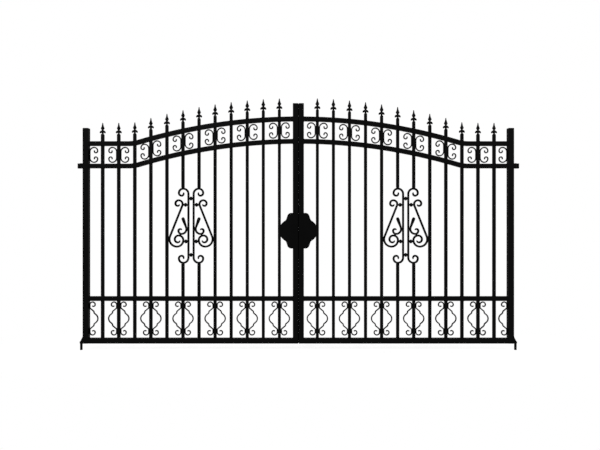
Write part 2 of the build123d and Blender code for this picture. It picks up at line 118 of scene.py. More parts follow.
# Spear heads
SPEAR = round(span("left_spear_heads", Z)[1] - span("left_pickets", Z)[1], 3)
SPEAR_SIDES = 24
BARB_SIDES = 12
# Share of the height, width, depth and power of the section: 1 is a diamond, 2 is round, more is square
SPEAR_PROFILE = (
    (0.0, 24.0, 24.0, 9.0),
    (0.018, 23.2, 23.2, 6.0),
    (0.05, 19.0, 19.0, 3.4),
    (0.085, 15.8, 15.8, 2.4),
    (0.12, 14.6, 14.6, 2.0),
    (0.16, 16.2, 15.0, 2.0),
    (0.20, 18.6, 16.4, 2.0),
    (0.255, 19.6, 17.0, 2.0),
    (0.31, 18.8, 16.2, 2.0),
    (0.35, 16.6, 14.6, 2.0),
    (0.385, 15.6, 13.4, 1.8),
    (0.42, 18.0, 13.2, 1.6),
    (0.46, 23.0, 13.6, 1.45),
    (0.505, 28.8, 14.0, 1.35),
    (0.54, 31.0, 14.0, 1.3),
    (0.575, 29.4, 13.8, 1.3),
    (0.625, 24.6, 13.2, 1.35),
    (0.71, 17.8, 12.0, 1.4),
    (0.79, 13.6, 10.6, 1.5),
    (0.875, 10.6, 9.0, 1.7),
    (0.95, 8.4, 7.8, 2.0),
    (0.985, 7.0, 6.8, 2.0),
    (1.0, 4.6, 4.6, 2.0),
)
# Distance out from the middle, share of the height, width and depth along a barb
BARB_PATH = (
    (3.0, 0.27, 20.4, 12.6),
    (8.0, 0.264, 20.0, 12.2),
    (12.2, 0.248, 19.0, 11.4),
    (15.6, 0.222, 17.4, 10.6),
    (18.2, 0.192, 14.6, 9.6),
    (20.2, 0.158, 10.4, 8.0),
    (21.3, 0.132, 6.0, 5.6),
)

# Scrolls between the arched rails
BAND_BAR = extent("left_band_scrolls", Y)
BAND_CORNER = 2.2
BAND_STRAIGHT = 25.0
BAND_RADII = (35.0, 28.0, 15.0, 11.0)
BAND_TIP = 8.0
BAND_REACH = BAND_BAR + BAND_RADII[0] + BAND_RADII[1]

# Bowed wires over the bottom rail, with turns in degrees
BASE_WIRE = extent("left_base_scrolls", Y)
BASE_Z = middle_of("left_base_scrolls", Z)
BASE_CORNER = 2.4
BOW_X = 70.0
BOW_RADIUS = 40.0
BOW_TURN = 50.0
BOW_RUN = 17.9
STEP_RADIUS = 6.5
STEP_TURN = 36.0
STEP_RUN = 11.3
NECK_RADIUS = 10.0
NECK_RUN = 21.4
BASE_CURL_RADII = (22.0, 21.0, 14.0)
BASE_TIP_RADIUS = 11.0
BASE_TIP_TURN = 60.0
BASE_REACH = BASE_WIRE / 2 + BOW_X

# Scroll panel about its own middle, its curls sized by its reach to the whole pickets beside it
TOUCH = 0.2
PANEL_BAR = extent("left_panel_bars", Y)
PANEL_CORNER = 3.2
PANEL_X = sum(PICKET_X[i] for i in CUT_PICKETS) / len(CUT_PICKETS)
PANEL_Z = middle_of("left_panel_bars", Z)
PANEL_HALF = (extent("left_panel_bars", Z) - PANEL_BAR) / 2
PANEL_REACH = (PITCH * (len(CUT_PICKETS) + 1) - PICKET) / 2 - TOUCH
PANEL_BAR_X = 0.115 * PANEL_REACH
PANEL_RADII = [share * PANEL_REACH for share in (0.23, 0.192, 0.12, 0.093)]
PANEL_TIP_RADIUS = 0.077 * PANEL_REACH
PANEL_TIP_TURN = 40.0
STRAIGHT_HALF = PANEL_HALF - PANEL_RADII[0]
CURL_CLEAR = PANEL_HALF - PANEL_RADII[1] - PANEL_RADII[2] - PANEL_BAR

# Drawn-out tips of the panel's curls
TIP_WIDTH = 8.5
TIP_STATIONS = 11
TIP_POWER = 1.4

# Leaning side scrolls of the panel
SIDE_UPPER = [share * PANEL_REACH for share in (0.172, 0.1445, 0.1036, 0.071)]
SIDE_LOWER = [share * PANEL_REACH for share in (0.329, 0.285, 0.208, 0.17, 0.137, 0.088)]
SIDE_UPPER_DROP = 21.0
SIDE_LOWER_LIFT = 58.0
SIDE_UPPER_X = 0.545 * PANEL_REACH
SIDE_UPPER_Z = CURL_CLEAR - SIDE_UPPER_DROP - SIDE_UPPER[0]
SIDE_LOWER_X = PANEL_REACH - PANEL_BAR / 2 - SIDE_LOWER[0]
SIDE_LOWER_Z = SIDE_LOWER_LIFT + SIDE_LOWER[0] - CURL_CLEAR

# Bud scrolls of the panel, from the swollen tip to the curl
BUD = [share * PANEL_REACH for share in (0.218, 0.1363, 0.0818, 0.06)]
BUD_LEAN = 20.0
BUD_LAST_TURN = 80.0
BUD_RUN = 0.2985 * (SIDE_UPPER_Z - SIDE_LOWER_Z)
BUD_RUN_SHARES = (0.2, 0.2, 0.2, 0.16, 0.13, 0.11)
BUD_WIDTHS = [18.5, 24.2, 25.0, 23.6, 20.4, 17.6]

# Ball ties of the panel
TIE_FOOT_RADIUS = 8.4
TIE_FOOT = 0.8
TIE_NECK_RADIUS = 7.9
TIE_COLLAR_RADIUS = 8.1
TIE_SINK = 0.6
TIE_SIDES = 20
BALL_RADIUS = 15.8
BALL_SHARE = 0.96
BALL_POWER = 0.65
BALL_STEPS = 12
UPPER_TIE_DROP = 38.0
LOWER_TIE_LIFT = 22.0
SIDE_UPPER_TIE_SHARE = 0.168
SIDE_LOWER_TIE_SHARE = 0.19

# Lock plates: flat top, shoulder, straight, hollow and a lobe to the side, with turns in degrees
PLATE_Z = middle_of("left_front_lock_plate", Z)
PLATE_HALF = extent("left_front_lock_plate", Z) / 2
PLATE_THICKNESS = extent("left_front_lock_plate", Y)
PLATE_FLAT = 57.0
SHOULDER_RADIUS = 33.0
SHOULDER_TURN = 72.0
SHOULDER_RUN = 29.0
HOLLOW_RADIUS = 22.0
HOLLOW_TURN = 39.5
HOLLOW_RUN = 5.0
HOLLOW_STEP = 6.0
LOBE_STEP = 4.0
PLATE_EDGE = 1.4
# Share of the thickness and share of the edge's width
PLATE_STAGES = ((0, 0), (0.45, 0), (0.8, 0), (0.93, 0.25), (1, 0.9))
SHARPEST_MITER = 0.3

# Hinges
RUNNING_GAP = 0.3
PIN_FIT = 0.1
PIN_RADIUS = 8.0
PIN_CHAMFER = 0.8
PIN_END_RADIUS = 7.0
# Height over the bracket and radius of the pin's head
PIN_HEAD = ((0.0, 10.0), (0.5, 10.5), (1.6, 10.2), (2.5, 8.6), (3.0, 5.0))
EYE_RADIUS = 16.0
EYE_HEIGHT = 31.0
EYE_TAB_HALF = 12.0
BRACKET_BACK_X = span("hinge_brackets", X)[0]
BRACKET_HALF_DEPTH = extent("hinge_brackets", Y) / 2
BRACKET_FRONT = 12.0
BRACKET_PLATE = 4.0
BRACKET_BACK_GAP = 1.0
BRACKET_SEAT = 0.3
BRACKET_EDGE = 0.7
BRACKET_INNER_EDGE = 0.5
BRACKET_HALF = EYE_HEIGHT / 2 + RUNNING_GAP
LUG_RADIUS = 13.0
LUG_HEIGHT = 14.0
LUG_EDGE = 1.0
SPIGOT_RADIUS = 6.0
SPIGOT_SHARE = 0.85
SPIGOT_TAPER = 1.5
SPIGOT_END_RADIUS = 4.6
PINTLE_RADIUS = 10.0
PINTLE_CHAMFER = 1.0
PINTLE_SHOULDER_RADIUS = 9.2
TURNED_SIDES = 32
STAR_SIDES = 48
GUSSET_FOOT = 25.4
GUSSET_RISE = 50.6
GUSSET_LAND = 1.2
GUSSET_TOE = 1.0
GUSSET_SINK = 0.5
GUSSET_THICKNESS = 10.0
GUSSET_EDGE = 0.8

# Seal strip on the edge of the left leaf
SEAL_CLEAR = 0.08
SEAL_FOOT_LIFT = 2.0
SEAL_HEAD_DROP = 0.4
SEAL_END = 1.2
SEAL_END_SHARE = 0.8
# Distance out from the stile and half depth, then the same from the edge of the lip
SEAL_BASE = ((-0.4, 9.0), (0.9, 9.0), (1.5, 8.2), (1.8, 5.4), (2.6, 4.9))
SEAL_LIP = ((-1.2, 5.2), (-0.4, 4.4), (0.0, 2.6))

# Weld beads
BEAD_SECTION = ((-0.35, -0.35), (-0.35, 1), (0.38, 0.86), (0.84, 0.42), (1, -0.35))
# Fewest and most waves round a bead, and their share of its radius
BEAD_WAVES = ((3, 5, 0.14), (7, 9, 0.12))
BEAD_SINK = 0.1
BEAD_ROUND_SHARE = 0.36
PICKET_BEAD = (2.1, 2.7)
PICKET_BEAD_POINTS = 28
RAIL_BEAD = (2.5, 3.0)
RAIL_BEAD_POINTS = 40
BOTTOM_BEAD_TRIM = 5.4
BOTTOM_BEAD = STILE - BOTTOM_BEAD_TRIM

# Tack welds
TACK_ROWS = 6
TACK_SIDES = 10
# Distance from the scroll's middle, way out from the face, range of half lengths, half width and half depth
BAND_TACK = (18.0, 0.6, (6, 9), 1.9, 1.7)
BASE_TACK = (92.0, 0.5, (5, 8), 1.7, 1.5)
PANEL_TACK_LENGTHS = (7, 9.5)
PANEL_TACK_WIDTH = 2.6
PANEL_TACK_DEPTH = 2.2
PANEL_TACK_SINK = 0.8
CURL_TACK_WAY = (0.86, 0.5)


def rise(x):
    """Height of an arched rail over its flat end."""
    if x <= BEND_START_X:
        return 0.0
    if x <= BEND_END_X:
        return BEND_RADIUS - sqrt(BEND_RADIUS**2 - (x - BEND_START_X) ** 2)
    return ARCH_RISE - ARCH_RADIUS + sqrt(ARCH_RADIUS**2 - (CENTRE_X - x) ** 2)


def rail_height(z, x):
    """Height at x of a rail that starts at z: those over the mid rail follow the arch."""
    return z + rise(x) if z > MID_RAIL_Z else z


def stile_top(x):
    return rail_height(TOP_RAIL_Z, x) + RAIL / 2 + STILE_HEAD


def picket_top(x):
    return rail_height(TOP_RAIL_Z, x) + RAIL / 2 + PICKET_HEAD


def band_height(x):
    return rail_height((SECOND_RAIL_Z + TOP_RAIL_Z) / 2, x)


# Paths of bent bars


def bend_path(x, z, heading, bends, step=10.0):
    """Stations (x, z, heading) of a bent bar; a bend is (radius, turn) or (length, 0)."""
    stations = [(x, z, heading)]
    for size, turn in bends:
        count = max(1, round(abs(turn) / step))
        angle = turn / count
        length = 2 * size * sin(radians(abs(angle) / 2)) if turn else size
        for _ in range(count):
            middle = radians(heading + angle / 2)
            x += length * cos(middle)
            z += length * sin(middle)
            heading += angle
            stations.append((x, z, heading))
    return stations


def quarter_turns(radii, turn=-90):
    return [(radius, turn) for radius in radii]


def moved_along(station, distance):
    x, z, heading = station
    return x + distance * cos(radians(heading)), z + distance * sin(radians(heading)), heading


def backwards(stations):
    return [(x, z, heading + 180) for x, z, heading in reversed(stations)]


def below(stations):
    """Mirror image about Z = 0, walked the other way."""
    return [(x, -z, 180 - heading) for x, z, heading in reversed(stations)]


def flipped(stations):
    """Mirror image about X = 0."""
    return [(-x, z, 180 - heading) for x, z, heading in stations]


def shifted(stations, dx, dz):
    return [(x + dx, z + dz, heading) for x, z, heading in stations]


# Sections and outlines

# Side across, side along and start angle of the corners of a rectangle
CORNERS = ((1, 1, 0), (-1, 1, 90), (-1, -1, 180), (1, -1, 270))


def rounded_section(width, depth, corner, steps):
    """Rounded rectangle (across, Y), walked once round."""
    points = []
    for across, along, start in CORNERS:
        for i in range(steps + 1):
            angle = radians(start + 90 * i / steps)
            u = across * (width / 2 - corner) + corner * cos(angle)
            v = along * (depth / 2 - corner) + corner * sin(angle)
            points.append((u, v))
    return points


def square_path(half, corner, count):
    """Rounded square walked evenly: (u, v, outward u, outward v)."""
    points = []
    flat = half - corner
    for across, along, start in CORNERS:
        for i in range(count // 4):
            share = i / (count // 4)
            angle = radians(start + 90 * min(share / BEAD_ROUND_SHARE, 1))
            reach = 2 * flat * max(share - BEAD_ROUND_SHARE, 0) / (1 - BEAD_ROUND_SHARE)
            c, s = cos(angle), sin(angle)
            u = across * flat + corner * c - reach * s
            v = along * flat + corner * s + reach * c
            points.append((u, v, c, s))
    return points


def inset(points, distance):
    """Closed outline moved inwards; the points run anticlockwise about their inside."""
    if not distance:
        return points
    moved = []
    for i, point in enumerate(points):
        here, before, after = Vector(point), Vector(points[i - 1]), Vector(points[(i + 1) % len(points)])
        a, b = (here - before).normalized(), (after - here).normalized()
        normal_a, normal_b = Vector((-a.y, a.x)), Vector((-b.y, b.x))
        miter = (normal_a + normal_b) / max(1 + normal_a.dot(normal_b), SHARPEST_MITER)
        moved.append(tuple(here + miter * distance))
    return moved


def squared(value, power):
    """Cosine or sine bent to a section that is a diamond at power 1, round at 2 and squarer above."""
    return copysign(abs(value) ** (2 / power), value) if abs(value) > TINY else 0


def along_x(x, z):
    """Place of a turned form that lies along X."""
    return lambda axial, u, v: (x + axial, u, z + v)


def upright(z):
    """Place of a turned form that stands on the hinge axis."""
    return lambda axial, u, v: (u, v, z + axial)


class Shape:
    """Vertices in millimetres and faces of one piece."""

    def __init__(self):
        self.points = []
        self.faces = []

    def loft(self, rings, closed=False):
        """Skin over rings of equal count, capped at both ends unless the rings close on themselves."""
        first, count = len(self.points), len(rings[0])
        for ring in rings:
            self.points += ring
        for r in range(len(rings) if closed else len(rings) - 1):
            a, b = first + r * count, first + (r + 1) % len(rings) * count
            for i in range(count):
                j = (i + 1) % count
                self.faces.append((a + i, a + j, b + j, b + i))
        if not closed:
            last = first + (len(rings) - 1) * count
            self.faces.append(tuple(first + i for i in reversed(range(count))))
            self.faces.append(tuple(last + i for i in range(count)))

    def bar(self, stations, size, corner, widths=None, steps=CORNER_STEPS, ease=True):
        """Bar swept in the XZ plane with rounded corners and eased ends."""
        stations = list(stations)
        widths = list(widths or [size] * len(stations))
        if ease:
            inside, before = moved_along(stations[0], corner), moved_along(stations[-1], -corner)
            stations = [stations[0], inside] + stations[1:-1] + [before, stations[-1]]
            widths = [widths[0], widths[0]] + widths[1:-1] + [widths[-1], widths[-1]]
        rings = []
        for i, ((x, z, heading), width) in enumerate(zip(stations, widths)):
            trim = END_TRIM_SHARE * corner if ease and i in (0, len(stations) - 1) else 0
            c, s = cos(radians(heading)), sin(radians(heading))
            section_corner = min(corner, (width - trim) / WIDTH_PER_CORNER)
            section = rounded_section(width - trim, size - trim, section_corner, steps)
            rings.append([(x - s * u, v, z + c * u) for u, v in section])
        self.loft(rings)

    def turned(self, profile, place, sides):
        """Turned form; the profile is (axial, radius) and place(axial, u, v) gives the point."""
        turns = [2 * pi * i / sides for i in range(sides)]
        rings = []
        for axial, radius in profile:
            rings.append([place(axial, radius * cos(turn), radius * sin(turn)) for turn in turns])
        self.loft(rings)

    def bead(self, path, radius, seed):
        """Weld bead round a closed path of (point, outward, upward), uneven along its run."""
        rng = random.Random(seed)
        waves = []
        for fewest, most, share in BEAD_WAVES:
            waves.append((rng.randint(fewest, most), rng.uniform(0, 2 * pi), share))
        rings = []
        for i, (point, out, up) in enumerate(path):
            turn = 2 * pi * i / len(path)
            r = radius * (1 + sum(share * sin(count * turn + phase) for count, phase, share in waves))
            ring = []
            for a, b in BEAD_SECTION:
                ring.append(tuple(point[k] + r * (a * out[k] + b * up[k]) for k in range(3)))
            rings.append(ring)
        self.loft(rings, closed=True)

    def tack(self, centre, axes):
        """Small rounded weld with half axes given as three vectors."""
        rings = []
        for i in range(1, TACK_ROWS):
            lat = -pi / 2 + pi * i / TACK_ROWS
            ring = []
            for j in range(TACK_SIDES):
                lon = 2 * pi * j / TACK_SIDES
                weights = (sin(lat), cos(lat) * cos(lon), cos(lat) * sin(lon))
                offset = [sum(w * axis[k] for w, axis in zip(weights, axes)) for k in range(3)]
                ring.append(tuple(c + d for c, d in zip(centre, offset)))
            rings.append(ring)
        self.loft(rings)

    def take_in(self, other):
        """Join another shape to this one."""
        shift = len(self.points)
        self.points += other.points
        self.faces += [tuple(shift + i for i in face) for face in other.faces]

    def mirrored(self):
        """Mirror image about the middle of the gate."""
        twin = Shape()
        twin.points = [(HINGE_SPAN - x, y, z) for x, y, z in self.points]
        twin.faces = [tuple(reversed(face)) for face in self.faces]
        return twin


# Stiles, rails and pickets


def stile(x_from, x_to, top_at):
    shape = Shape()
    x = (x_from + x_to) / 2
    shape.bar([(x, GROUND_GAP, 90), (x, stile_top(top_at) - CAP, 90)], x_to - x_from, STILE_CORNER)
    return shape


def stile_caps():
    shape = Shape()
    hinge_cap = (HINGE_OFFSET, HINGE_STILE, stile_top(HINGE_OFFSET))
    meeting_cap = (MEETING_INNER_X, STILE, stile_top(MEETING_X))
    for x_from, size, top in (hinge_cap, meeting_cap):
        rings = []
        for trim, corner, depth in CAP_PROFILE:
            section = rounded_section(size - trim, size - trim, corner, CORNER_STEPS)
            rings.append([(x_from + size / 2 + u, v, top - depth) for u, v in section])
        shape.loft(rings)
    return shape


def arched_rail(z):
    shape = Shape()
    end = degrees(asin((CENTRE_X - MEETING_INNER_X) / ARCH_RADIUS))
    bends = [(BEND_START_X - HINGE_INNER_X, 0), (BEND_RADIUS, BEND), (ARCH_RADIUS, end - BEND)]
    stations = bend_path(HINGE_INNER_X, z, 0, bends, RAIL_STEP)
    shape.bar(stations, RAIL, RAIL_CORNER, ease=False)
    return shape


def level_rail(z, size):
    shape = Shape()
    shape.bar([(HINGE_INNER_X, z, 0), (MEETING_INNER_X, z, 0)], size, RAIL_CORNER, ease=False)
    return shape


def pickets():
    shape = Shape()
    reach = PANEL_HALF + PANEL_BAR / 2 - PICKET_SINK
    for i, x in enumerate(PICKET_X):
        ends = [BOTTOM_RAIL_TOP - PICKET_SINK, picket_top(x)]
        if i in CUT_PICKETS:
            ends[1:1] = [PANEL_Z - reach, PANEL_Z + reach]
        for low, high in zip(ends[::2], ends[1::2]):
            shape.bar([(x, low, 90), (x, high, 90)], PICKET, PICKET_CORNER, steps=THIN_BAR_STEPS)
    return shape


# Spear heads


def spear_body(shape, x, z):
    rings = []
    for share, width, depth, power in SPEAR_PROFILE:
        ring = []
        for i in range(SPEAR_SIDES):
            angle = 2 * pi * i / SPEAR_SIDES
            u, v = squared(cos(angle), power), squared(sin(angle), power)
            ring.append((x + u * width / 2, v * depth / 2, z + share * SPEAR))
        rings.append(ring)
    shape.loft(rings)


def spear_barb(shape, x, z, side):
    rings = []
    for i, (out, share, width, depth) in enumerate(BARB_PATH):
        before, after = BARB_PATH[max(i - 1, 0)], BARB_PATH[min(i + 1, len(BARB_PATH) - 1)]
        slope = atan2((after[1] - before[1]) * SPEAR, after[0] - before[0])
        ring = []
        for j in range(BARB_SIDES):
            angle = 2 * pi * j / BARB_SIDES
            u, v = cos(angle) * width / 2, sin(angle) * depth / 2
            ring.append((x + side * (out - sin(slope) * u), v, z + share * SPEAR + cos(slope) * u))
        rings.append(ring)
    shape.loft(rings)


def spear_heads():
    shape = Shape()
    for x in PICKET_X:
        spear_body(shape, x, picket_top(x))
        for side in (1, -1):
            spear_barb(shape, x, picket_top(x), side)
    return shape


# Repeated scrolls


def scroll_faces():
    """Faces that carry scrolls: (x, side) on the hinge stile and on every second picket."""
    faces = [(HINGE_INNER_X, 1)]
    for x in PICKET_X[1::2]:
        faces += [(x - PICKET / 2, -1), (x + PICKET / 2, 1)]
    return faces


def repeated(stations, size, corner, reach, height_at):
    """One copy of a scroll on each face, at the height of the middle of its reach."""
    shape = Shape()
    for x, side in scroll_faces():
        copy = stations if side > 0 else flipped(stations)
        shape.bar(shifted(copy, x, height_at(x + side * reach / 2)), size, corner, steps=THIN_BAR_STEPS)
    return shape


def band_scrolls():
    """Bars against their faces, curled in at both ends."""
    bends = [(BAND_STRAIGHT, 0)] + quarter_turns(BAND_RADII) + [(BAND_TIP, 0)]
    upper = bend_path(BAND_BAR / 2, 0, 90, bends)[1:]
    return repeated(below(upper) + upper, BAND_BAR, BAND_CORNER, BAND_REACH, band_height)


def base_scrolls():
    """Half a bow with a step in it, a slant back to the face and a curl, and the same below."""
    step = [(STEP_RADIUS, -STEP_TURN), (STEP_RUN, 0), (STEP_RADIUS, STEP_TURN)]
    bow = [(BOW_RADIUS, BOW_TURN), (BOW_RUN, 0)] + step
    bow_end_x = bend_path(BOW_X, 0, 90, bow)[-1][0]
    slope = radians(BOW_TURN)
    slant = (bow_end_x - BASE_WIRE / 2 - NECK_RADIUS * (1 - cos(slope))) / sin(slope)
    neck = [(slant, 0), (NECK_RADIUS, -BOW_TURN), (NECK_RUN, 0)]
    curl = quarter_turns(BASE_CURL_RADII) + [(BASE_TIP_RADIUS, -BASE_TIP_TURN)]
    upper = bend_path(BOW_X, 0, 90, bow + neck + curl)
    return repeated(below(upper)[:-1] + upper, BASE_WIRE, BASE_CORNER, BASE_REACH, lambda x: BASE_Z)


# Scroll panel


def panel_pair(stations, widths):
    """A bent bar of the panel and its mirror image."""
    shape = Shape()
    for copy in (stations, flipped(stations)):
        shape.bar(shifted(copy, PANEL_X, PANEL_Z), PANEL_BAR, PANEL_CORNER, widths)
    return shape


def drawn_tip(count):
    """Widths of a curl whose last bends are drawn out to a thinner tip, which comes last."""
    shares = [((i + 1) / TIP_STATIONS) ** TIP_POWER for i in range(TIP_STATIONS)]
    taper = [PANEL_BAR - (PANEL_BAR - TIP_WIDTH) * share for share in shares]
    return [PANEL_BAR] * (count - TIP_STATIONS) + taper


def two_tips(count):
    return drawn_tip(count // 2)[::-1] + drawn_tip(count - count // 2)


def panel_bars():
    bends = [(STRAIGHT_HALF, 0)] + quarter_turns(PANEL_RADII) + [(PANEL_TIP_RADIUS, -PANEL_TIP_TURN)]
    upper = bend_path(PANEL_BAR_X, 0, 90, bends)[1:]
    return panel_pair(below(upper) + upper, two_tips(2 * len(upper)))


def panel_side_scrolls():
    """Upper and lower curl on the straight run that touches both circles, walked from tip to tip."""
    across, down = SIDE_LOWER_X - SIDE_UPPER_X, SIDE_LOWER_Z - SIDE_UPPER_Z
    apart, both = hypot(across, down), SIDE_UPPER[0] + SIDE_LOWER[0]
    heading = degrees(atan2(down, across) + asin(both / apart))
    turn = heading + 180
    x = SIDE_UPPER_X + SIDE_UPPER[0] * sin(radians(heading))
    z = SIDE_UPPER_Z - SIDE_UPPER[0] * cos(radians(heading))
    upper = [(SIDE_UPPER[0], -turn)] + quarter_turns(SIDE_UPPER[1:])
    lower = [(sqrt(apart**2 - both**2), 0), (SIDE_LOWER[0], -turn)] + quarter_turns(SIDE_LOWER[1:])
    stations = backwards(bend_path(x, z, turn, upper))[:-1] + bend_path(x, z, heading, lower)
    return panel_pair(stations, two_tips(len(stations)))


def bud_start():
    """Where the bud scroll touches the upright bar, and the middles of its curl and of the spiral below."""
    x = PANEL_BAR_X + PANEL_BAR + TOUCH
    spiral_x = SIDE_LOWER_X - SIDE_LOWER[1] + SIDE_LOWER[2]
    spiral_z = SIDE_LOWER_Z - SIDE_LOWER[0] + SIDE_LOWER[1]
    apart = BUD[1] + SIDE_LOWER[2] + PANEL_BAR + TOUCH
    curl_z = spiral_z + sqrt(apart**2 - (spiral_x - x - BUD[0]) ** 2)
    return x, curl_z + BUD[0] - BUD[1], (x + BUD[0], curl_z), (spiral_x, spiral_z)


def panel_bud_scrolls():
    x, z, _, _ = bud_start()
    tip = bend_path(x, z, 90, [(BUD[0], -BUD_LEAN)] + [(BUD_RUN * share, 0) for share in BUD_RUN_SHARES])
    curl = bend_path(x, z, -90, quarter_turns(BUD[:3], 90) + [(BUD[3], BUD_LAST_TURN)])
    stations = backwards(tip)[:-1] + curl
    return panel_pair(stations, BUD_WIDTHS + drawn_tip(len(stations) - len(BUD_WIDTHS)))


def tie_spans():
    """Ends and heights of the six ties, and the room for a ball on the shortest."""
    inner, outer = PANEL_BAR_X - PANEL_BAR / 2, PANEL_BAR_X + PANEL_BAR / 2
    upper_end = SIDE_UPPER_X - SIDE_UPPER[0] - PANEL_BAR / 2
    lower_end = SIDE_LOWER_X - SIDE_LOWER[1] - PANEL_BAR / 2
    upper_z = SIDE_UPPER_Z - SIDE_UPPER_TIE_SHARE * SIDE_UPPER[0]
    lower_z = SIDE_LOWER_Z - SIDE_LOWER[0] + SIDE_LOWER[1] - SIDE_LOWER_TIE_SHARE * SIDE_LOWER[1]
    spans = [(-inner, inner, STRAIGHT_HALF - UPPER_TIE_DROP), (-inner, inner, LOWER_TIE_LIFT - STRAIGHT_HALF)]
    for end, z in ((upper_end, upper_z), (lower_end, lower_z)):
        spans += [(outer, end, z), (-end, -outer, z)]
    return spans, min(2 * inner, lower_end - outer - TOUCH)


def panel_ties():
    shape = Shape()
    spans, room = tie_spans()
    ball = BALL_SHARE * room / 2
    start = asin(TIE_NECK_RADIUS / BALL_RADIUS)
    profile = []
    for i in range(BALL_STEPS + 1):
        angle = start + (pi - 2 * start) * i / BALL_STEPS
        radius = BALL_RADIUS * sin(angle) ** BALL_POWER if 0 < i < BALL_STEPS else TIE_COLLAR_RADIUS
        profile.append((-ball * cos(angle), radius))
    for x_from, x_to, z in spans:
        middle, half = (x_from + x_to) / 2, (x_to - x_from) / 2 + TIE_SINK
        left_foot = [(-half, TIE_FOOT_RADIUS), (-half + TIE_FOOT, TIE_NECK_RADIUS)]
        right_foot = [(half - TIE_FOOT, TIE_NECK_RADIUS), (half, TIE_FOOT_RADIUS)]
        shape.turned(left_foot + profile + right_foot, along_x(PANEL_X + middle, PANEL_Z + z), TIE_SIDES)
    return shape


# Lock plates


def plate_outline():
    """Left half of the ogee plate about its own middle, from the meeting edge round to it again."""
    shoulder = [(SHOULDER_RADIUS, -SHOULDER_TURN), (SHOULDER_RUN, 0)]
    hollow = [(HOLLOW_RADIUS, HOLLOW_TURN), (HOLLOW_RUN, 0)]
    stations = bend_path(PLATE_FLAT, PLATE_HALF, 0, shoulder + hollow, HOLLOW_STEP)
    lobe_turn = 90 - SHOULDER_TURN + HOLLOW_TURN
    x, z, heading = stations[-1]
    lobe = bend_path(x, z, heading, [(z / sin(radians(lobe_turn)), -lobe_turn)], LOBE_STEP)
    upper = [(MEETING_GAP / 2, PLATE_HALF, 0)] + stations + lobe[1:]
    return [(-x, z) for x, z, _ in upper] + [(-x, -z) for x, z, _ in reversed(upper[:-1])]


def lock_plate(front_y, outward):
    shape = Shape()
    outline = plate_outline()
    rings = []
    for depth, edge in PLATE_STAGES:
        y = front_y + outward * depth * PLATE_THICKNESS
        rings.append([(CENTRE_X + x, y, PLATE_Z + z) for x, z in inset(outline, edge * PLATE_EDGE)])
    shape.loft(rings)
    return shape


# Hinges


def polar(radius, angle, z):
    return radius * cos(angle), radius * sin(angle), z


def star_radius(circle, x_low, x_high, y_half):
    """Outline of a circle joined with a box that reaches the axis."""

    def radius_at(angle):
        c, s = cos(angle), sin(angle)
        x_reach = (x_high if c > 0 else x_low) / c
        y_reach = y_half / abs(s) if abs(s) > TINY else inf
        return max(circle, min(x_reach, y_reach))

    return radius_at


def star_angles(y_half, *ends):
    """Even angles with the box corners among them."""
    angles = [2 * pi * i / STAR_SIDES for i in range(STAR_SIDES)]
    for x in ends:
        corner = atan2(y_half, x)
        angles += [corner, 2 * pi - corner]
    return sorted(set(round(angle, 6) for angle in angles))


def star_prism(shape, radius_at, angles, bore, z_from, z_to, edge):
    """Upright plate with a bore, its outline given by a radius at each angle, with eased edges."""

    def outer(change, z):
        return [polar(radius_at(angle) + change, angle, z) for angle in angles]

    def inner(change, z):
        return [polar(bore + change, angle, z) for angle in angles]

    low, high = z_from + edge, z_to - edge
    rings = [outer(0, low), outer(-edge, z_from), inner(edge, z_from), inner(0, low)]
    rings += [inner(0, high), inner(edge, z_to), outer(-edge, z_to), outer(0, high)]
    shape.loft(rings, closed=True)


def hinge_lugs():
    shape = Shape()
    eye = star_radius(EYE_RADIUS, 0, HINGE_OFFSET, EYE_TAB_HALF)
    eye_angles = star_angles(EYE_TAB_HALF, HINGE_OFFSET)
    low, high = SECOND_RAIL_Z - EYE_HEIGHT / 2, SECOND_RAIL_Z + EYE_HEIGHT / 2
    star_prism(shape, eye, eye_angles, PIN_RADIUS + RUNNING_GAP, low, high, LUG_EDGE)
    lug = star_radius(LUG_RADIUS, 0, HINGE_OFFSET, LUG_RADIUS)
    lug_angles = star_angles(LUG_RADIUS, HINGE_OFFSET)
    top = GROUND_GAP + LUG_HEIGHT
    star_prism(shape, lug, lug_angles, SPIGOT_RADIUS + RUNNING_GAP, GROUND_GAP, top, LUG_EDGE)
    gusset(shape, top)
    return shape


def gusset(shape, foot_z):
    """Brace between the foot lug and the stile."""
    toe_x, head_z = HINGE_OFFSET - GUSSET_FOOT, foot_z + GUSSET_RISE
    outline = [
        (HINGE_OFFSET, head_z),
        (HINGE_OFFSET - GUSSET_LAND, head_z - GUSSET_TOE),
        (toe_x, foot_z + GUSSET_TOE),
        (toe_x, foot_z - GUSSET_SINK),
        (HINGE_OFFSET, foot_z - GUSSET_SINK),
    ]
    half = GUSSET_THICKNESS / 2
    flat = half - GUSSET_EDGE
    rings = []
    for y, edge in ((-half, GUSSET_EDGE), (-flat, 0), (flat, 0), (half, GUSSET_EDGE)):
        rings.append([(x, y, z) for x, z in inset(outline, edge)])
    shape.loft(rings)


def ground_pintles():
    shape = Shape()
    shoulder = GROUND_GAP - RUNNING_GAP
    spigot_top = shoulder + SPIGOT_SHARE * LUG_HEIGHT
    profile = [
        (0, PINTLE_RADIUS - PINTLE_CHAMFER),
        (PINTLE_CHAMFER, PINTLE_RADIUS),
        (shoulder - PINTLE_CHAMFER, PINTLE_RADIUS),
        (shoulder, PINTLE_SHOULDER_RADIUS),
        (shoulder, SPIGOT_RADIUS),
        (spigot_top - SPIGOT_TAPER, SPIGOT_RADIUS),
        (spigot_top, SPIGOT_END_RADIUS),
    ]
    shape.turned(profile, upright(0), TURNED_SIDES)
    return shape


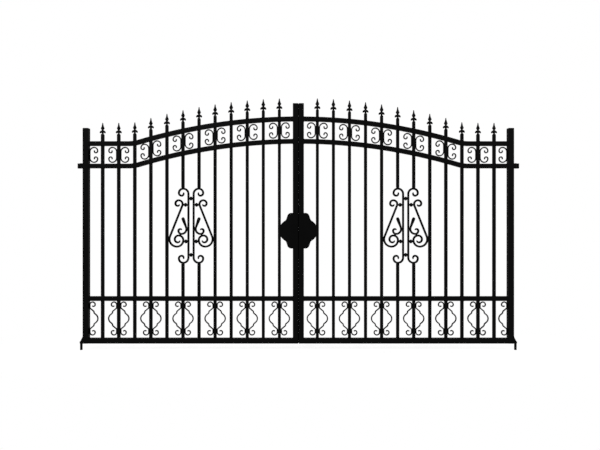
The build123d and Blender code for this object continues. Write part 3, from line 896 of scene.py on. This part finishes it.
def hinge_brackets():
    """Two plates over and under the eye, joined by a back."""
    shape = Shape()
    plate = star_radius(PIN_RADIUS, BRACKET_BACK_X, BRACKET_FRONT, BRACKET_HALF_DEPTH)
    angles = star_angles(BRACKET_HALF_DEPTH, BRACKET_BACK_X, BRACKET_FRONT)
    for low in (SECOND_RAIL_Z - BRACKET_HALF - BRACKET_PLATE, SECOND_RAIL_Z + BRACKET_HALF):
        star_prism(shape, plate, angles, PIN_RADIUS + PIN_FIT, low, low + BRACKET_PLATE, BRACKET_EDGE)
    front_x = -EYE_RADIUS - BRACKET_BACK_GAP
    low, high = SECOND_RAIL_Z - BRACKET_HALF - BRACKET_SEAT, SECOND_RAIL_Z + BRACKET_HALF + BRACKET_SEAT
    stages = [(BRACKET_BACK_X, BRACKET_EDGE), (BRACKET_BACK_X + BRACKET_EDGE, 0)]
    stages += [(front_x - BRACKET_INNER_EDGE, 0), (front_x, BRACKET_INNER_EDGE)]
    rings = []
    for x, trim in stages:
        y = BRACKET_HALF_DEPTH - trim
        rings.append([(x, -y, low), (x, y, low), (x, y, high), (x, -y, high)])
    shape.loft(rings)
    return shape


def hinge_pins():
    shape = Shape()
    half = BRACKET_HALF + BRACKET_PLATE
    profile = [(-half, PIN_END_RADIUS), (-half + PIN_CHAMFER, PIN_RADIUS), (half, PIN_RADIUS)]
    profile += [(half + height, radius) for height, radius in PIN_HEAD]
    shape.turned(profile, upright(SECOND_RAIL_Z), TURNED_SIDES)
    return shape


# Seal and welds


def meeting_seal():
    """Soft strip on the edge of the left leaf, just short of the right one, with a bead along its lip."""
    shape = Shape()
    low, high = GROUND_GAP + SEAL_FOOT_LIFT, stile_top(MEETING_X) - SEAL_HEAD_DROP
    lip = MEETING_GAP - SEAL_CLEAR
    half = list(SEAL_BASE) + [(lip + u, v) for u, v in SEAL_LIP]
    section = [(u, -v) for u, v in half] + [(u, v) for u, v in reversed(half)]
    foot = [(low, SEAL_END_SHARE), (low + SEAL_END, 1)]
    head = [(high - SEAL_END, 1), (high, SEAL_END_SHARE)]
    rings = []
    for z, share in foot + head:
        rings.append([(MEETING_X + u, share * v, z) for u, v in section])
    shape.loft(rings)
    return shape


def weld_beads(seed):
    """Beads round each picket at the rails and round each rail end at the stiles."""
    shape = Shape()
    rng = random.Random(seed)
    seats = [(BOTTOM_RAIL_Z, STILE / 2, 1)]
    for z in (MID_RAIL_Z, SECOND_RAIL_Z, TOP_RAIL_Z):
        seats += [(z, RAIL / 2, 1), (z, -RAIL / 2, -1)]
    outline = square_path(PICKET / 2 - BEAD_SINK, PICKET_CORNER, PICKET_BEAD_POINTS)
    for x in PICKET_X:
        for z, offset, up in seats:
            path = []
            for u, v, out_u, out_v in outline:
                point = (x + u, v, rail_height(z, x + u) + offset)
                path.append((point, (out_u, out_v, 0), (0, 0, up)))
            shape.bead(path, rng.uniform(*PICKET_BEAD), rng.random())
    ends = [(z, RAIL) for z in (TOP_RAIL_Z, SECOND_RAIL_Z, MID_RAIL_Z)] + [(BOTTOM_RAIL_Z, BOTTOM_BEAD)]
    for z, size in ends:
        outline = square_path(size / 2 - BEAD_SINK, RAIL_CORNER, RAIL_BEAD_POINTS)
        for x, way in ((HINGE_INNER_X, 1), (MEETING_INNER_X, -1)):
            height = rail_height(z, x)
            path = [((x, u, height + v), (0, out_u, out_v), (way, 0, 0)) for u, v, out_u, out_v in outline]
            shape.bead(path, rng.uniform(*RAIL_BEAD), rng.random())
    return shape


def panel_spots():
    """Where the panel's bars touch each other and the pickets: x, z and the way the weld runs."""
    _, bud_z, curl, spiral = bud_start()
    share = 1 - (BUD[1] + PANEL_BAR / 2) / hypot(spiral[0] - curl[0], spiral[1] - curl[1])
    curl_x, curl_z = (s + (c - s) * share for c, s in zip(curl, spiral))
    edge_z = PANEL_HALF + PANEL_BAR / 2
    return (
        (PANEL_BAR_X + PANEL_BAR / 2, bud_z, (0, 1)),
        (PANEL_REACH, SIDE_LOWER_Z, (0, 1)),
        (curl_x, curl_z, CURL_TACK_WAY),
        (PITCH / 2, edge_z, (1, 0)),
        (PITCH / 2, -edge_z, (1, 0)),
    )


def scroll_tacks(seed):
    """Small welds where the scrolls touch the bars that carry them."""
    shape = Shape()
    rng = random.Random(seed)
    for x, side in scroll_faces():
        band_z = band_height(x + side * BAND_REACH / 2)
        for middle, bar, tack in ((band_z, BAND_BAR, BAND_TACK), (BASE_Z, BASE_WIRE, BASE_TACK)):
            apart, out, lengths, width, depth = tack
            for z in (middle + apart, middle - apart):
                for y in (-bar / 2, bar / 2):
                    axes = ((0, 0, rng.uniform(*lengths)), (width, 0, 0), (0, depth, 0))
                    shape.tack((x + side * out, y, z), axes)
    face = PANEL_BAR / 2 - PANEL_TACK_SINK
    for x, z, (way_x, way_z) in panel_spots():
        for side in (1, -1):
            for y in (-face, face):
                length = rng.uniform(*PANEL_TACK_LENGTHS)
                long_axis = (side * way_x * length, 0, way_z * length)
                cross_axis = (-side * way_z * PANEL_TACK_WIDTH, 0, way_x * PANEL_TACK_WIDTH)
                axes = (long_axis, cross_axis, (0, PANEL_TACK_DEPTH, 0))
                shape.tack((PANEL_X + side * x, y, PANEL_Z + z), axes)
    return shape


# Paint

TONE_SCALE = 9.0
TONE_DETAIL = 5.0
GLOSS_RANGE = {"From Min": 0.3, "From Max": 0.7}
GLOSS_GAIN = 0.06
GLOSS_LOSS = 0.07
CLEAR_COAT_GAIN = 0.1
PEEL_DETAIL = 3.0
PEEL_DEPTH = 0.0006
# Place on the ramp, share of the base tone, and of its blue
TONE_STOPS = ((0.3, 0.75, 0.78), (0.72, 1.35, 1.42))


def add_node(tree, kind, values=None, **settings):
    """New shader node with values on its inputs and settings of its own."""
    node = tree.nodes.new(f"ShaderNode{kind}")
    for name, value in settings.items():
        setattr(node, name, value)
    for name, value in (values or {}).items():
        node.inputs[name].default_value = value
    return node


def coat(name, base, roughness, grain, bump, gleam):
    """Black paint: slight change of tone and gloss, with the fine peel of the coat as bump."""
    material = bpy.data.materials.new(name)
    material.use_nodes = True
    tree = material.node_tree
    link = tree.links.new
    shader = tree.nodes["Principled BSDF"]
    shader.inputs["Specular IOR Level"].default_value = 0.0
    shader.inputs["Coat Weight"].default_value = gleam
    shader.inputs["Coat Roughness"].default_value = roughness - CLEAR_COAT_GAIN
    place = add_node(tree, "TexCoord")
    broad = add_node(tree, "TexNoise", {"Scale": TONE_SCALE, "Detail": TONE_DETAIL})
    link(place.outputs["Object"], broad.inputs["Vector"])
    tone = add_node(tree, "ValToRGB")
    for stop, (position, share, blue_share) in zip(tone.color_ramp.elements, TONE_STOPS):
        stop.position = position
        stop.color = (base * share, base * share, base * blue_share, 1)
    link(broad.outputs["Fac"], tone.inputs["Fac"])
    link(tone.outputs["Color"], shader.inputs["Base Color"])
    gloss_ends = {"To Min": roughness - GLOSS_GAIN, "To Max": roughness + GLOSS_LOSS}
    gloss = add_node(tree, "MapRange", GLOSS_RANGE | gloss_ends)
    link(broad.outputs["Fac"], gloss.inputs["Value"])
    link(gloss.outputs["Result"], shader.inputs["Roughness"])
    peel = add_node(tree, "TexNoise", {"Scale": grain, "Detail": PEEL_DETAIL})
    link(place.outputs["Object"], peel.inputs["Vector"])
    relief = add_node(tree, "Bump", {"Strength": bump, "Distance": PEEL_DEPTH})
    link(peel.outputs["Fac"], relief.inputs["Height"])
    link(relief.outputs["Normal"], shader.inputs["Normal"])
    return material


# Name, base tone, roughness, scale of the peel, its strength and the gleam of the clear coat
COATS = {
    "black_frame": coat("black_powder_coat", 0.0008, 0.42, 620.0, 0.18, 0.085),
    "black_scrolls": coat("black_scroll_coat", 0.0008, 0.36, 700.0, 0.16, 0.09),
    "black_plate": coat("black_plate_coat", 0.0007, 0.46, 560.0, 0.2, 0.07),
    "black_castings": coat("black_cast_coat", 0.0008, 0.5, 330.0, 0.4, 0.085),
    "hinge_steel": coat("black_hinge_coat", 0.0008, 0.4, 480.0, 0.22, 0.085),
}

# Pieces

SHARP_ANGLE = 48.0
LEAF = {
    "hinge_stile": (lambda: stile(HINGE_OFFSET, HINGE_INNER_X, HINGE_OFFSET), "black_frame"),
    "meeting_stile": (lambda: stile(MEETING_INNER_X, MEETING_X, MEETING_X), "black_frame"),
    "stile_caps": (stile_caps, "black_frame"),
    "top_rail": (lambda: arched_rail(TOP_RAIL_Z), "black_frame"),
    "second_rail": (lambda: arched_rail(SECOND_RAIL_Z), "black_frame"),
    "mid_rail": (lambda: level_rail(MID_RAIL_Z, RAIL), "black_frame"),
    "bottom_rail": (lambda: level_rail(BOTTOM_RAIL_Z, STILE), "black_frame"),
    "pickets": (pickets, "black_frame"),
    "spear_heads": (spear_heads, "black_castings"),
    "band_scrolls": (band_scrolls, "black_scrolls"),
    "base_scrolls": (base_scrolls, "black_scrolls"),
    "panel_bars": (panel_bars, "black_scrolls"),
    "panel_side_scrolls": (panel_side_scrolls, "black_scrolls"),
    "panel_bud_scrolls": (panel_bud_scrolls, "black_scrolls"),
    "panel_ties": (panel_ties, "black_castings"),
    "front_lock_plate": (lambda: lock_plate(-STILE / 2, -1), "black_plate"),
    "back_lock_plate": (lambda: lock_plate(STILE / 2, 1), "black_plate"),
    "hinge_lugs": (hinge_lugs, "hinge_steel"),
}
FIXED = {"ground_pintles": ground_pintles, "hinge_brackets": hinge_brackets, "hinge_pins": hinge_pins}
WELD_SEEDS = {"left": 11, "right": 29}


def piece(name, shape, body, slot, *nodes):
    """Painted mesh of a shape that moves with a body and stands for the named solids."""
    mesh = bpy.data.meshes.new(name)
    mesh.from_pydata([(x * MM, y * MM, z * MM) for x, y, z in shape.points], [], shape.faces)
    work = bmesh.new()
    work.from_mesh(mesh)
    bmesh.ops.recalc_face_normals(work, faces=work.faces)
    work.to_mesh(mesh)
    work.free()
    mesh.polygons.foreach_set("use_smooth", [True] * len(mesh.polygons))
    mesh.set_sharp_from_angle(angle=radians(SHARP_ANGLE))
    obj = bpy.data.objects.new(name, mesh)
    bpy.context.scene.collection.objects.link(obj)
    normals = obj.modifiers.new("face_weighted_normals", "WEIGHTED_NORMAL")
    normals.keep_sharp = True
    obj.data.materials.append(COATS[slot])
    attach(obj, body)
    if nodes:
        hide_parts(*nodes)


for node, (make, slot) in LEAF.items():
    left = make()
    piece(f"left_{node}_shaped", left, "left_leaf", slot, f"left_{node}")
    piece(f"right_{node}_shaped", left.mirrored(), "right_leaf", slot, f"right_{node}")
for node, make in FIXED.items():
    both = make()
    both.take_in(both.mirrored())
    piece(f"{node}_shaped", both, "hinge_fixings", "hinge_steel", node)
piece("left_meeting_seal", meeting_seal(), "left_leaf", "black_frame")
for side, seed in WELD_SEEDS.items():
    beads, tacks = weld_beads(seed), scroll_tacks(seed + 1)
    if side == "right":
        beads, tacks = beads.mirrored(), tacks.mirrored()
    piece(f"{side}_weld_beads", beads, f"{side}_leaf", "black_frame")
    piece(f"{side}_scroll_tacks", tacks, f"{side}_leaf", "black_scrolls")

# Studio, in metres

WHITE = (1, 1, 1, 1)
SOFT_LIGHT = 0.55
FLOOR_LOW = -28.0
FLOOR_HIGH = 32.0
FLOOR_COLOUR = (0.8, 0.8, 0.8, 1)
SHADOW_COLOUR = (0.34, 0.34, 0.34, 1)
SHADOW_GLOW = 0.74
SHADOW_OVAL = (0.4, 1.0, 1.0)
SHADOW_FADE = {"From Min": 0.35, "From Max": 1.1}
GATE_FOOT = (CENTRE_X * MM, 0.0, 0.0)
GATE_MIDDLE = (CENTRE_X * MM, 0.0, 1.0)
# Name, place, width and power of each lamp
LAMPS = (
    ("key_light", (-1.2, -4.6, 5.2), 3.6, 250.0),
    ("fill_light", (7.4, -3.2, 3.4), 4.2, 140.0),
    ("back_light", (1.2, 4.6, 5.0), 3.6, 160.0),
)
CAMERA_PLACE = (1.7693, -4.41, 1.01)
CAMERA_LENS = 32.7
CAMERA_SENSOR = 36.0


def ray_seen(tree):
    """One for rays that see the setting directly, in a mirror or through glass."""
    path = add_node(tree, "LightPath")
    total = path.outputs["Is Camera Ray"]
    for name in ("Is Glossy Ray", "Is Transmission Ray"):
        either = add_node(tree, "Math", operation="MAXIMUM")
        tree.links.new(total, either.inputs[0])
        tree.links.new(path.outputs[name], either.inputs[1])
        total = either.outputs[0]
    return total


def mixed(tree, factor, first, second):
    """Shader that goes from the first to the second as the factor goes from zero to one."""
    mix = add_node(tree, "MixShader")
    tree.links.new(factor, mix.inputs[0])
    tree.links.new(first.outputs[0], mix.inputs[1])
    tree.links.new(second.outputs[0], mix.inputs[2])
    return mix


def make_world():
    """Even light on the gate, and plain white where the setting itself is seen."""
    world = bpy.data.worlds.new("studio")
    world.use_nodes = True
    bpy.context.scene.world = world
    tree = world.node_tree
    soft = tree.nodes["Background"]
    soft.inputs["Color"].default_value = WHITE
    soft.inputs["Strength"].default_value = SOFT_LIGHT
    white = add_node(tree, "Background", {"Color": WHITE, "Strength": 1.0})
    choose = mixed(tree, ray_seen(tree), soft, white)
    tree.links.new(choose.outputs[0], tree.nodes["World Output"].inputs["Surface"])


def floor_material():
    """Pale floor that shows the gate's shadow near it and fades to white further out."""
    material = bpy.data.materials.new("pale_floor")
    material.use_nodes = True
    tree = material.node_tree
    link = tree.links.new
    tree.nodes.remove(tree.nodes["Principled BSDF"])
    plain = add_node(tree, "BsdfDiffuse", {"Color": FLOOR_COLOUR})
    faint = add_node(tree, "BsdfDiffuse", {"Color": SHADOW_COLOUR})
    glow = add_node(tree, "Emission", {"Strength": SHADOW_GLOW})
    near = add_node(tree, "AddShader")
    link(faint.outputs[0], near.inputs[0])
    link(glow.outputs[0], near.inputs[1])
    far = add_node(tree, "Emission", {"Strength": 1.0})
    place = add_node(tree, "NewGeometry")
    spread = add_node(tree, "VectorMath", {1: GATE_FOOT}, operation="SUBTRACT")
    link(place.outputs["Position"], spread.inputs[0])
    oval = add_node(tree, "VectorMath", {1: SHADOW_OVAL}, operation="MULTIPLY")
    link(spread.outputs[0], oval.inputs[0])
    reach = add_node(tree, "VectorMath", operation="LENGTH")
    link(oval.outputs[0], reach.inputs[0])
    fade = add_node(tree, "MapRange", SHADOW_FADE, interpolation_type="SMOOTHSTEP")
    link(reach.outputs["Value"], fade.inputs["Value"])
    shown = mixed(tree, fade.outputs["Result"], near, far)
    choose = mixed(tree, ray_seen(tree), plain, shown)
    link(choose.outputs[0], tree.nodes["Material Output"].inputs["Surface"])
    return material


def make_floor():
    low, high = FLOOR_LOW, FLOOR_HIGH
    mesh = bpy.data.meshes.new("floor")
    mesh.from_pydata([(low, low, 0), (high, low, 0), (high, high, 0), (low, high, 0)], [], [(0, 1, 2, 3)])
    mesh.materials.append(floor_material())
    floor = bpy.data.objects.new("floor", mesh)
    bpy.context.scene.collection.objects.link(floor)


def make_lamp(name, place, size, power):
    """Square lamp turned to the middle of the gate."""
    data = bpy.data.lights.new(name, "AREA")
    data.size = size
    data.energy = power
    obj = bpy.data.objects.new(name, data)
    obj.location = place
    obj.rotation_euler = (Vector(GATE_MIDDLE) - Vector(place)).to_track_quat("-Z", "Y").to_euler()
    bpy.context.scene.collection.objects.link(obj)


def make_camera():
    """Camera square on to the gate."""
    lens = bpy.data.cameras.new("camera")
    lens.sensor_width = CAMERA_SENSOR
    lens.lens = CAMERA_LENS
    camera = bpy.data.objects.new("camera", lens)
    camera.location = CAMERA_PLACE
    camera.rotation_euler = (radians(90), 0, 0)
    bpy.context.scene.collection.objects.link(camera)
    bpy.context.scene.camera = camera


make_world()
make_floor()
for name, place, size, power in LAMPS:
    make_lamp(name, place, size, power)
make_camera()
bpy.context.scene.view_settings.view_transform = "Standard"
